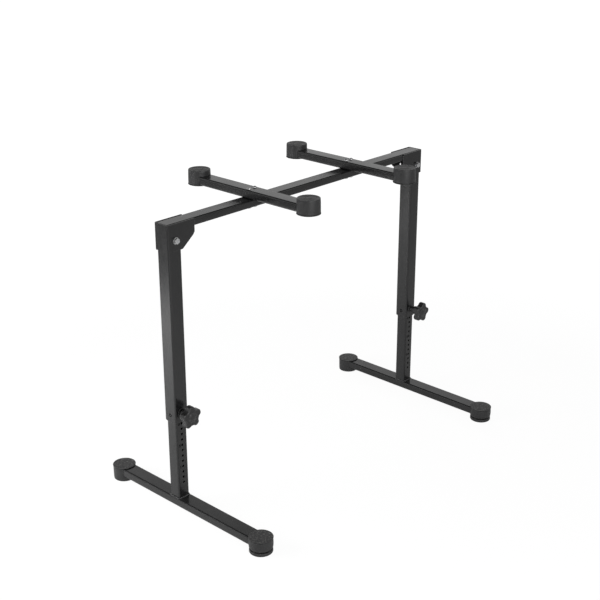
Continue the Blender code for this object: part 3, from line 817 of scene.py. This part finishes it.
def front_cap(name, sizes):
    """Front foot's cap, open below for the levelling disc's screw."""
    radius = FRONT_RADIUS
    top = CAP_HEIGHT + 0.0003
    under = sizes.sole_height + sizes.sole_gap
    recess = under + 0.0012
    bore, bore_end = 0.0043, 0.0244
    corners = lid_corners(sizes, radius, top)
    corners += [
        (radius - 0.0008, top - LID_DROP, 0.0005),
        (radius - 0.0002, 0.0200, 0.004),
        (radius - 0.0010, under + 0.0006, 0.0005),
        (radius - 0.0016, under, 0.0003),
        (0.0170, under, 0.0004),
        (0.0160, recess, 0.0004),
        (0.0115, recess, 0.0004),
        (bore, recess, 0.0004),
        (bore, bore_end, 0.0003),
        (CORE, bore_end, 0.0),
    ]
    return hollowed(as_object(name, turned(corners)), bar_pocket(1))


class STAND_OT_caps(bpy.types.Operator):
    """Mould the caps of the feet and the arms."""

    bl_idname = "stand.caps"
    bl_label = "Moulded caps"

    def execute(self, context):
        sizes = context.scene.stand_sizes
        for side in SIDES:
            body = "lower_leg_" + side
            place = middle_of("foot_cap_back_" + side)
            cap = plain_cap("moulded_foot_back_" + side, sizes, -1)
            cap.location = (place.x, place.y, 0.0)
            finished(cap, FINISHES["rubber"], body, "cap_rubber", "foot_cap_back_" + side)
            place = middle_of("foot_cap_front_" + side)
            cap = front_cap("moulded_foot_front_" + side, sizes)
            cap.location = (place.x, place.y, 0.0)
            finished(cap, FINISHES["rubber"], body, "cap_rubber", "foot_cap_front_" + side)
            for end, way in (("front", -1), ("back", 1)):
                node = "arm_cap_" + end + "_" + side
                place = middle_of(node)
                cap = plain_cap("moulded_" + node, sizes, way)
                cap.data.transform(Matrix.Rotation(math.pi, 4, "X"))
                cap.location = (place.x, place.y, REST)
                finished(cap, FINISHES["rubber"], "top_frame", "cap_rubber", node)
        return {"FINISHED"}


class STAND_OT_levelling_feet(bpy.types.Operator):
    """Turn the levelling discs with their necks and threaded screws."""

    bl_idname = "stand.levelling_feet"
    bl_label = "Levelling feet"

    def execute(self, context):
        sizes = context.scene.stand_sizes
        height = sizes.sole_height
        radius = size_of("levelling_disc_left").x / 2
        shoulder = height + sizes.sole_gap - 0.0002
        screw_top, crest, root, pitch, neck = 0.0240, 0.0040, 0.0035, 0.0012, 0.0100
        corners = [(CORE, screw_top, 0.0), (0.0034, screw_top, 0.0003)]
        turn = 0.0236
        while turn > shoulder + 0.0014:
            corners += [(crest, turn, 0.0002), (root, turn - pitch / 2, 0.0002)]
            turn -= pitch
        corners += [
            (0.0039, shoulder, 0.0002),
            (neck, shoulder - 0.0001, 0.0004),
            (neck, height, 0.0003),
            (radius - 0.0003, height, 0.0011),
            (radius, 0.0012, 0.0004),
            (radius - 0.0008, 0.0, 0.0004),
            (CORE, 0.0, 0.0),
        ]
        for side in SIDES:
            node = "levelling_disc_" + side
            place = middle_of(node)
            disc = as_object("turned_" + node, turned(corners))
            disc.location = (place.x, place.y, 0.0)
            body = "levelling_foot_" + side
            finished(disc, FINISHES["rubber"], body, "cap_rubber", node)
        return {"FINISHED"}


# Star knobs, drawn along +Z from the tube's face and then laid facing the front

STAR_STEPS = 200
LOBES = 5
SHOULDER = 1.3


def star_ring(sizes, turn, shrink, height, roundness=0.0, round_radius=0.0):
    """One ring of the star: square shouldered lobes, blended towards a circle."""
    middle = (sizes.star_tip + sizes.star_waist) / 2 - shrink
    swing = (sizes.star_tip - sizes.star_waist) / 2
    ring = []
    for step in range(STAR_STEPS):
        angle = 2 * math.pi * step / STAR_STEPS
        wave = math.cos(LOBES * (angle - turn))
        radius = middle + swing * math.tanh(SHOULDER * wave) / math.tanh(SHOULDER)
        radius += (round_radius - radius) * roundness
        ring.append((radius * math.cos(angle), radius * math.sin(angle), height))
    return ring


def star_shape(sizes, turn, hub_start):
    """Whole knob: bore, counterbore, hub, flare, star and the recess in its face."""
    hub_length = 0.0155
    back = hub_start + hub_length
    front = back + sizes.star_depth
    roll, roll_steps = 0.0024, 6
    bore = ((0.0044, 0.0228), (0.0044, 0.0084))
    counterbore = ((0.0087, 0.0082), (0.0089, 0.0078), (0.0089, 0.0006), (0.0094, 0.0))
    hub = ((0.0110, 0.0), (0.0115, 0.0002), (0.0116, 0.0007), (0.01162, 0.0011), (0.0122, 0.0095))
    flare = ((0.0128, -0.0040), (0.0137, -0.0022), (0.0152, -0.0008))
    face = ((0.0118, -0.0001), (0.0110, 0.0), (0.0105, -0.0003), (0.0104, -0.0012))
    rings = [circle(r, hub_start + height, STAR_STEPS) for r, height in bore + counterbore + hub]
    rings += [circle(r, back + height, STAR_STEPS) for r, height in flare]
    rings.append(star_ring(sizes, turn, 0.0, back - 0.0001, 0.93, 0.0168))
    rings.append(star_ring(sizes, turn, 0.0040, back, 0.45, 0.0190))
    rings.append(star_ring(sizes, turn, roll + 0.0006, back))
    rings.append(star_ring(sizes, turn, roll, back))
    for step in range(1, roll_steps + 1):
        angle = math.pi / 2 * step / roll_steps
        shrink = roll * (1 - math.sin(angle))
        rings.append(star_ring(sizes, turn, shrink, back + roll * (1 - math.cos(angle))))
    rings.append(star_ring(sizes, turn, 0.0, back + roll + 0.0006))
    rings.append(star_ring(sizes, turn, 0.0, front - roll - 0.0006))
    for step in range(roll_steps + 1):
        angle = math.pi / 2 * step / roll_steps
        shrink = roll * (1 - math.cos(angle))
        rings.append(star_ring(sizes, turn, shrink, front - roll * (1 - math.sin(angle))))
    rings.append(star_ring(sizes, turn, roll + 0.0008, front - 0.0001))
    rings.append(star_ring(sizes, turn, roll + 0.0014, front - 0.0006))
    rings.append(star_ring(sizes, turn, 0.0, front - 0.0007, 0.6, 0.0150))
    rings.append(star_ring(sizes, turn, 0.0, front - 0.0006, 0.97, 0.0122))
    rings += [circle(r, front + height, STAR_STEPS) for r, height in face]
    return rings_to_shape(rings)


def knob_face(front):
    """Domed cover in the knob's face, with a fine ring round it."""
    base = front - 0.0009
    rim = 0.0100
    corners = [
        (CORE, base + 0.0021, 0.0),
        (0.0058, base + 0.0019, 0.003),
        (0.0078, base + 0.0014, 0.0004),
        (0.0081, base + 0.0011, 0.0002),
        (0.0084, base + 0.0013, 0.0002),
        (rim, base + 0.0006, 0.0006),
        (rim, base, 0.0),
        (CORE, base, 0.0),
    ]
    return turned(corners, 72)


class STAND_OT_knobs(bpy.types.Operator):
    """Mould the star knobs and their face covers."""

    bl_idname = "stand.knobs"
    bl_label = "Star knobs"

    def execute(self, context):
        sizes = context.scene.stand_sizes
        turns = {"left": sizes.star_turn_left, "right": sizes.star_turn_right}
        lay = Matrix.Rotation(math.pi / 2, 4, "X")
        for side in SIDES:
            low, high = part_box("knob_" + side)
            hub_start = TUBE_FRONT - high.y
            stud = middle_of("lock_stud_" + side)
            body = "star_knob_" + side
            knob = as_object("star_" + side, star_shape(sizes, turns[side], hub_start))
            knob.data.transform(lay)
            knob.location = (stud.x, TUBE_FRONT, stud.z)
            finished(knob, FINISHES["knob"], body, "knob_plastic", "knob_" + side)
            face = as_object("star_face_" + side, knob_face(TUBE_FRONT - low.y))
            face.data.transform(lay)
            face.location = (stud.x, TUBE_FRONT, stud.z)
            finished(face, FINISHES["knob"], body, "knob_plastic", "knob_cap_" + side)
        return {"FINISHED"}


# Threaded lock studs


class STAND_OT_lock_studs(bpy.types.Operator):
    """Cut the threads of the lock studs and turn down their noses."""

    bl_idname = "stand.lock_studs"
    bl_label = "Lock studs"

    def execute(self, context):
        nose_length, nose, pitch, root, chamfer = 0.0042, 0.0030, 0.00125, 0.0034, 0.0006
        for side in SIDES:
            node = "lock_stud_" + side
            low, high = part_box(node)
            length = high.y - low.y
            crest = (high.x - low.x) / 2
            corners = [(CORE, 0.0, 0.0), (crest - chamfer, 0.0, 0.0)]
            run = chamfer
            while run < length - nose_length - pitch:
                corners += [(crest, -run, 0.0001), (root, -run - pitch / 2, 0.0001)]
                run += pitch
            corners += [
                (crest, -run, 0.0001),
                (nose, nose_length - length, 0.0002),
                (nose, 0.0008 - length, 0.0002),
                (nose - 0.0009, -length, 0.0002),
                (CORE, -length, 0.0),
            ]
            stud = as_object("threaded_" + node, turned(corners, 40))
            stud.data.transform(Matrix.Rotation(math.pi / 2, 4, "X"))
            middle = middle_of(node)
            stud.location = (middle.x, low.y, middle.z)
            finished(stud, FINISHES["zinc"], "stud_" + side, "zinc_steel", node, sharp=60.0)
        return {"FINISHED"}


# Weld beads


BEAD_SIDES = 10


def bead_shape(path, radius, closed, ripple=0.0011):
    """Rippled bead swept along a path, its ends tapered where it is open."""
    points = [Vector(point) for point in path]
    dense = []
    legs = list(zip(points, points[1:] + ([points[0]] if closed else [])))
    for start, end in legs:
        steps = max(1, round((end - start).length / (ripple / 4)))
        dense += [start.lerp(end, step / steps) for step in range(steps)]
    if not closed:
        dense.append(points[-1])
    rings = []
    run = 0.0
    count = len(dense)
    for index, point in enumerate(dense):
        before = dense[index - 1] if closed or index > 0 else point
        after = dense[(index + 1) % count] if closed or index < count - 1 else point
        along = (after - before).normalized()
        run += (point - before).length
        swell = 1.0 + 0.16 * abs(math.sin(math.pi * run / ripple))
        if not closed:
            swell *= min(1.0, 0.35 + 0.25 * min(index, count - 1 - index))
        side = along.orthogonal().normalized() if abs(along.z) > 0.9 else Vector((0, 0, 1))
        across = along.cross(side).normalized()
        side = across.cross(along)
        ring = []
        for step in range(BEAD_SIDES):
            angle = 2 * math.pi * step / BEAD_SIDES
            offset = across * math.cos(angle) + side * math.sin(angle)
            ring.append(point + offset * radius * swell)
        rings.append(ring)
    return rings_to_shape(rings, closed)


def add_bead(name, path, radius, closed, body):
    bead = as_object(name, bead_shape(path, radius, closed))
    return finished(bead, FINISHES["coat"], body, "black_steel", sharp=60.0)


class STAND_OT_welds(bpy.types.Operator):
    """Run the weld beads round the legs' feet, the bosses and the brackets."""

    bl_idname = "stand.welds"
    bl_label = "Weld beads"

    def execute(self, context):
        bead = context.scene.stand_sizes.bead
        proud, boss_radius = 0.0004, 0.0115
        plate_edge, corner = 0.0022, 0.0035
        around = INNER_TUBE + 2 * proud
        beam_low, beam_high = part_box("crossbar")
        for side, sign in SIDES.items():
            axis = axis_of(side)
            outline = slot_outline(around, around, 0.0049)
            foot = [(axis.x + x, axis.y + y, BAR_TOP + proud) for x, y in outline]
            add_bead("weld_foot_" + side, foot, bead * 1.25, True, "lower_leg_" + side)
            stud = middle_of("lock_stud_" + side)
            ring = [
                (stud.x + x, TUBE_FRONT - proud / 2, stud.z + y)
                for x, y, _ in circle(boss_radius, 0.0, 40)
            ]
            add_bead("weld_boss_" + side, ring, bead * 0.55, True, "upper_leg_" + side)
            low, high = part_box("hinge_bracket_" + side)
            inner_x = low.x if sign > 0 else high.x
            for end, y in (("front", low.y + plate_edge), ("back", high.y - plate_edge)):
                seam = [
                    (inner_x - sign * proud, y, beam_low.z + corner),
                    (inner_x - sign * proud, y, beam_high.z - corner),
                ]
                add_bead(f"weld_{end}_{side}", seam, bead * 0.9, False, "top_frame")
        return {"FINISHED"}


# Snap tabs that hold the guide sleeve in the outer tube


class STAND_OT_snap_tabs(bpy.types.Operator):
    """Press the guide sleeve's snap tabs into the sides of the outer tube."""

    bl_idname = "stand.snap_tabs"
    bl_label = "Snap tabs"

    def execute(self, context):
        height, shade_radius, tab_radius = 0.0170, 0.0046, 0.0023
        # A thin dull black disc under each tab is painted shade, standing in for the dark gap
        # round it
        gap = [
            (CORE, -0.0003, 0.0),
            (shade_radius, -0.0003, 0.0),
            (shade_radius, 0.0002, 0.0001),
            (CORE, 0.0002, 0.0),
        ]
        tab = [
            (CORE, 0.0001, 0.0),
            (tab_radius, 0.0001, 0.0),
            (tab_radius - 0.0001, 0.0004, 0.0002),
            (CORE, 0.0004, 0.0),
        ]
        for side in SIDES:
            axis = axis_of(side)
            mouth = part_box("outer_tube_" + side)[0].z
            body = "upper_leg_" + side
            for face, way in (("left", -1), ("right", 1)):
                for name, corners, key in (("painted_tab_gap", gap, "gap_shade"), ("snap_tab", tab, "sleeve")):
                    piece = as_object(f"{name}_{face}_{side}", turned(corners, 40))
                    piece.data.transform(Matrix.Rotation(way * math.pi / 2, 4, "Y"))
                    piece.location = (axis.x + way * TUBE / 2, axis.y, mouth + height)
                    finished(piece, FINISHES[key], body, "sleeve_plastic")
        return {"FINISHED"}


# Numbers beside the height holes


class STAND_OT_numbers(bpy.types.Operator):
    """Stamp a plain number beside every fourth height hole."""

    bl_idname = "stand.numbers"
    bl_label = "Height numbers"

    def execute(self, context):
        aside, proud, every = 0.0080, 0.00002, 4
        for side in SIDES:
            axis = axis_of(side)
            stud = middle_of("lock_stud_" + side)
            face = axis.y - INNER_TUBE / 2
            for number, step in enumerate(range(-10, 11, every), 1):
                data = bpy.data.curves.new("number", "FONT")
                data.body = str(number)
                data.size = 0.0092
                data.align_x = "CENTER"
                data.align_y = "CENTER"
                data.extrude = 0.00008
                data.offset = 0.0006
                text = bpy.data.objects.new(f"number_{number}_{side}", data)
                text.rotation_euler = (math.pi / 2, 0.0, 0.0)
                text.location = (stud.x - aside, face - proud, stud.z + step * HOLE_PITCH)
                text.data.materials.append(FINISHES["stamp"])
                context.scene.collection.objects.link(text)
                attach(text, "lower_leg_" + side)
        return {"FINISHED"}


def floor_material(grey):
    """Pale floor that shows white to the camera and keeps the object's shadow."""
    material = bpy.data.materials.new("studio_floor")
    material.use_nodes = True
    tree = material.node_tree
    shader = tree.nodes["Principled BSDF"]
    shader.inputs["Base Color"].default_value = (grey, grey, grey, 1.0)
    shader.inputs["Roughness"].default_value = 0.85
    light = tree.nodes.new("ShaderNodeEmission")
    light.inputs["Strength"].default_value = 1.05
    path = tree.nodes.new("ShaderNodeLightPath").outputs
    place = tree.nodes.new("ShaderNodeNewGeometry")
    distance = tree.nodes.new("ShaderNodeVectorMath")
    distance.operation = "LENGTH"
    tree.links.new(place.outputs["Position"], distance.inputs[0])
    fade = mapped(tree, distance.outputs["Value"], 1.0, 2.6, 0.9, 1.0)
    shine = calculated(tree, "MAXIMUM", path["Is Glossy Ray"], path["Is Transmission Ray"])
    soft = calculated(tree, "MULTIPLY", shine, 0.2)
    share = calculated(tree, "MULTIPLY_ADD", path["Is Camera Ray"], fade, soft)
    mix = tree.nodes.new("ShaderNodeMixShader")
    tree.links.new(share, mix.inputs[0])
    tree.links.new(shader.outputs[0], mix.inputs[1])
    tree.links.new(light.outputs[0], mix.inputs[2])
    tree.links.new(mix.outputs[0], tree.nodes["Material Output"].inputs["Surface"])
    return material


def area_light(name, place, aim, size, power):
    data = bpy.data.lights.new(name, "AREA")
    data.shape = "SQUARE"
    data.size = size
    data.energy = power
    lamp = bpy.data.objects.new(name, data)
    lamp.location = place
    lamp.rotation_mode = "QUATERNION"
    lamp.rotation_quaternion = (Vector(aim) - Vector(place)).to_track_quat("-Z", "Y")
    bpy.context.scene.collection.objects.link(lamp)
    return lamp


def white_world(ambient):
    """Even grey light, and a white backdrop under a dimmer ceiling for what shines."""
    world = bpy.data.worlds.new("studio")
    world.use_nodes = True
    tree = world.node_tree
    background = tree.nodes["Background"]
    background.inputs["Color"].default_value = WHITE
    background.inputs["Strength"].default_value = ambient
    height = tree.nodes.new("ShaderNodeSeparateXYZ")
    way = tree.nodes.new("ShaderNodeTexCoord")
    tree.links.new(way.outputs["Generated"], height.inputs[0])
    backdrop = mapped(tree, height.outputs["Z"], 0.49, 0.61, 0.8, 0.02, "SMOOTHSTEP")
    path = tree.nodes.new("ShaderNodeLightPath").outputs
    seen = calculated(tree, "MAXIMUM", path["Is Camera Ray"], backdrop)
    white = tree.nodes.new("ShaderNodeBackground")
    white.inputs["Color"].default_value = WHITE
    tree.links.new(seen, white.inputs["Strength"])
    bright = path["Is Camera Ray"]
    for name in ("Is Glossy Ray", "Is Transmission Ray"):
        bright = calculated(tree, "MAXIMUM", bright, path[name])
    mix = tree.nodes.new("ShaderNodeMixShader")
    tree.links.new(bright, mix.inputs[0])
    tree.links.new(background.outputs[0], mix.inputs[1])
    tree.links.new(white.outputs[0], mix.inputs[2])
    tree.links.new(mix.outputs[0], tree.nodes["World Output"].inputs["Surface"])
    return world


def studio_camera(studio):
    """Camera at the photograph's angle, with its slightly shifted frame."""
    turn = studio.camera_turn
    dip = studio.camera_dip
    ahead = Vector(
        (math.sin(turn) * math.cos(dip), math.cos(turn) * math.cos(dip), -math.sin(dip))
    )
    right = Vector((math.cos(turn), -math.sin(turn), 0.0))
    up = right.cross(ahead)
    roll = Matrix.Rotation(-studio.camera_roll, 3, ahead)
    right = roll @ right
    up = roll @ up
    data = bpy.data.cameras.new("camera")
    data.lens = studio.camera_lens
    data.sensor_width = 36.0
    data.shift_x, data.shift_y = FRAME_SHIFT
    camera = bpy.data.objects.new("camera", data)
    axes = Matrix((right, up, -ahead)).transposed()
    camera.matrix_world = Matrix.Translation(studio.camera_place) @ axes.to_4x4()
    bpy.context.scene.collection.objects.link(camera)
    bpy.context.scene.camera = camera


# Name, place, aim, size in metres, power in watts and whether it shows in reflections
LAMPS = (
    ("left_light", (-1.6, 0.9, 0.65), (-0.4, 0.0, 0.2), 1.0, 28.0, False),
    ("front_light", (-0.9, -2.3, 1.2), (-0.3, 0.0, 0.2), 1.4, 27.0, True),
    ("back_light", (1.9, 2.0, 1.1), (0.4, 0.0, 0.0), 0.8, 14.0, False),
)


class STAND_OT_studio(bpy.types.Operator):
    """Set up the pale floor, the soft light, the white backdrop and the camera."""

    bl_idname = "stand.studio"
    bl_label = "Studio"

    def execute(self, context):
        scene = context.scene
        studio = scene.stand_studio
        scene.view_settings.view_transform = "Standard"
        shape = bmesh.new()
        bmesh.ops.create_grid(shape, x_segments=8, y_segments=8, size=FLOOR_REACH)
        mesh = bpy.data.meshes.new("floor")
        shape.to_mesh(mesh)
        shape.free()
        mesh.materials.append(floor_material(studio.floor_grey))
        floor = bpy.data.objects.new("floor", mesh)
        floor.location.z = -FLOOR_DROP
        scene.collection.objects.link(floor)
        for name, place, aim, size, power, shines in LAMPS:
            area_light(name, place, aim, size, power).visible_glossy = shines
        scene.world = white_world(0.2)
        studio_camera(studio)
        return {"FINISHED"}


class STAND_PT_dresser(bpy.types.Panel):
    """Sidebar panel with the stand's values and steps."""

    bl_idname = "STAND_PT_dresser"
    bl_label = "Keyboard stand"
    bl_space_type = "VIEW_3D"
    bl_region_type = "UI"
    bl_category = "Stand"

    def draw(self, context):
        scene = context.scene
        for group in (scene.stand_sizes, scene.stand_finish, scene.stand_studio):
            box = self.layout.box()
            for name in group.__annotations__:
                box.prop(group, name)
        for step in STEPS:
            self.layout.operator(step.bl_idname)


GROUPS = (StandSizes, StandFinish, StandStudio)
STEPS = (
    STAND_OT_finishes,
    STAND_OT_caps,
    STAND_OT_levelling_feet,
    STAND_OT_knobs,
    STAND_OT_lock_studs,
    STAND_OT_welds,
    STAND_OT_snap_tabs,
    STAND_OT_numbers,
    STAND_OT_studio,
)


def register():
    for item in (*GROUPS, *STEPS, STAND_PT_dresser):
        bpy.utils.register_class(item)
    bpy.types.Scene.stand_sizes = bpy.props.PointerProperty(type=StandSizes)
    bpy.types.Scene.stand_finish = bpy.props.PointerProperty(type=StandFinish)
    bpy.types.Scene.stand_studio = bpy.props.PointerProperty(type=StandStudio)


def unregister():
    del bpy.types.Scene.stand_studio
    del bpy.types.Scene.stand_finish
    del bpy.types.Scene.stand_sizes
    for item in reversed((*GROUPS, *STEPS, STAND_PT_dresser)):
        bpy.utils.unregister_class(item)


def main():
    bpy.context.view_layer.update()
    register()
    bpy.ops.stand.finishes()
    bpy.ops.stand.caps()
    bpy.ops.stand.levelling_feet()
    bpy.ops.stand.knobs()
    bpy.ops.stand.lock_studs()
    bpy.ops.stand.welds()
    bpy.ops.stand.snap_tabs()
    bpy.ops.stand.numbers()
    bpy.ops.stand.studio()


if __name__ == "__main__":
    main()
